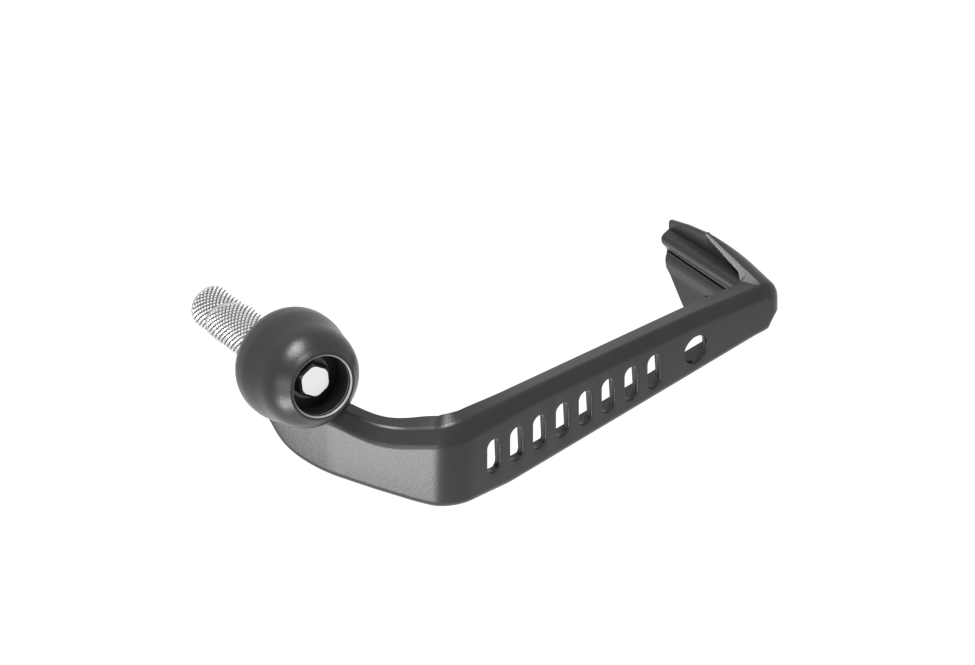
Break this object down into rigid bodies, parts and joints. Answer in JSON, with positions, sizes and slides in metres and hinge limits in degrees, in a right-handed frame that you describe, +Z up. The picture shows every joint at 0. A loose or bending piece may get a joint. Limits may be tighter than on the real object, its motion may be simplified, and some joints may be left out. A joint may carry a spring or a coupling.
{
  "type": "brake lever guard",
  "caption": "Channel-section guard for a handlebar lever, with a moulded bulb, slotted strap, end fin and a knurled expanding insert.",
  "frame": {"origin": "centre of the bulb's rear face on the handlebar's axis, where the guard seats on the handlebar's end", "axes": "+X outboard along the handlebar, +Y forward, +Z up"},
  "size_m": [0.0855, 0.1747, 0.0636],
  "materials": {
    "moulded_plastic": "satin, fine grain",
    "zinc_steel": "bright zinc plate",
    "insert_aluminium": "bright, diamond knurl"
  },
  "bodies": {
    "root": {"guard": "moulded_plastic", "washer": "zinc_steel", "clamp_bolt": "zinc_steel", "insert_sleeve": "insert_aluminium", "wedge_nut": "insert_aluminium"}
  },
  "joints": []
}
